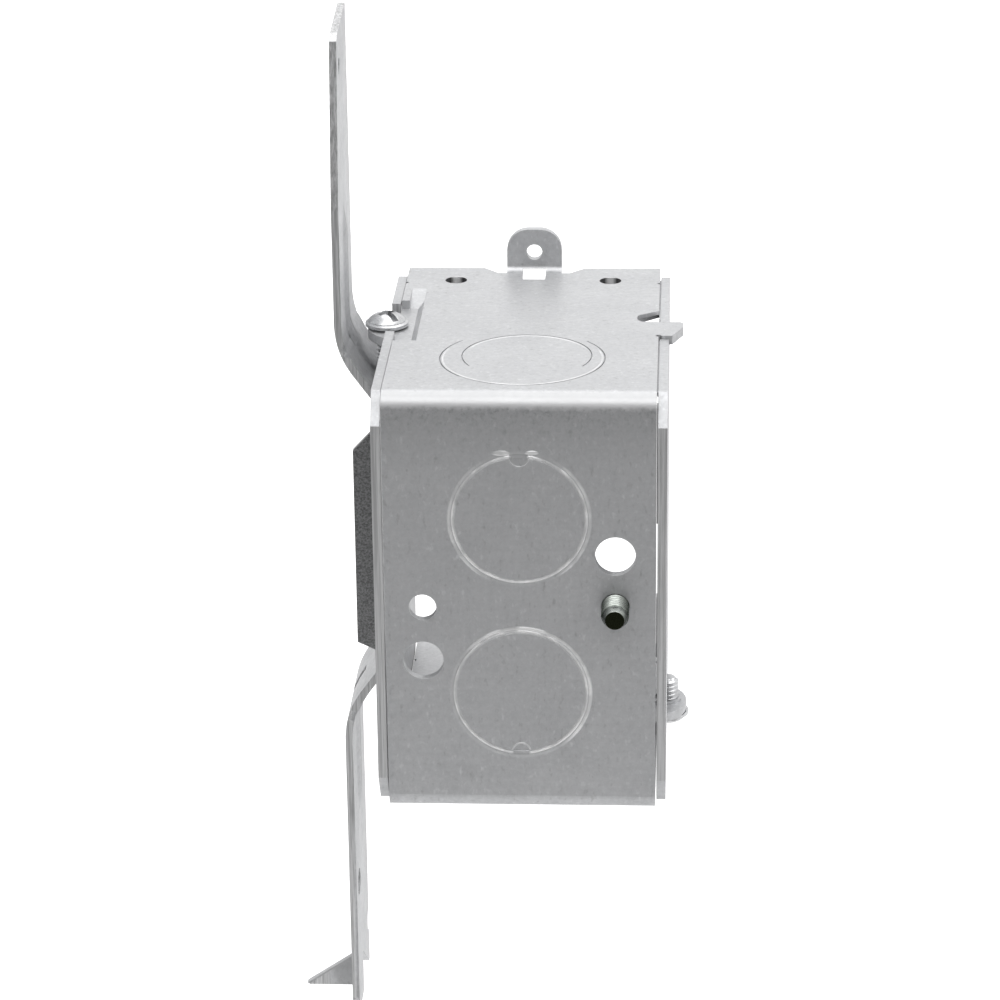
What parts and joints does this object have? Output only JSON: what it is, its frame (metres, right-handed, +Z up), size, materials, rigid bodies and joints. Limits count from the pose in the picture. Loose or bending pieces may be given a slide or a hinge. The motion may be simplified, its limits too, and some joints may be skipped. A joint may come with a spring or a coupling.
{
  "type": "gangable switch box",
  "caption": "Deep steel wall box for a switch, open at the front, with lift-off side plates that let boxes join side by side, and a strap that nails to a stud.",
  "frame": {"origin": "midway between the two device screw holes, in the plane of the open front", "axes": "+X across the box towards the stud bracket, +Y from the open front to the back wall, +Z up"},
  "size_m": [0.0711, 0.0762, 0.1875],
  "materials": {
    "sheet": "galvanised sheet, fine mottled zinc",
    "strap": "galvanised strip, slightly duller than the box",
    "screw": "bright zinc plate",
    "ground": "dark green dyed zinc plate"
  },
  "bodies": {
    "box": {"box_body": "sheet"},
    "bracket_side": {"side_plate_bracket": "sheet", "stud_bracket": "strap"},
    "free_side": {"side_plate_free": "sheet"},
    "top_screw": {"gang_screw_top": "screw"},
    "bottom_screw": {"gang_screw_bottom": "screw"},
    "ground": {"ground_screw": "ground"}
  },
  "joints": [
    {"name": "bracket_side_off", "type": "slide", "parent": "box", "child": "bracket_side", "axis": [1, 0, 0], "range_m": [0, 0.03]},
    {"name": "free_side_off", "type": "slide", "parent": "box", "child": "free_side", "axis": [-1, 0, 0], "range_m": [0, 0.03]},
    {"name": "top_screw_out", "type": "slide", "parent": "box", "child": "top_screw", "axis": [0, 0, 1], "range_m": [0, 0.0045]},
    {"name": "bottom_screw_out", "type": "slide", "parent": "box", "child": "bottom_screw", "axis": [0, 0, -1], "range_m": [0, 0.0045]},
    {"name": "ground_screw_out", "type": "slide", "parent": "box", "child": "ground", "axis": [0, -1, 0], "range_m": [0, 0.006]}
  ]
}
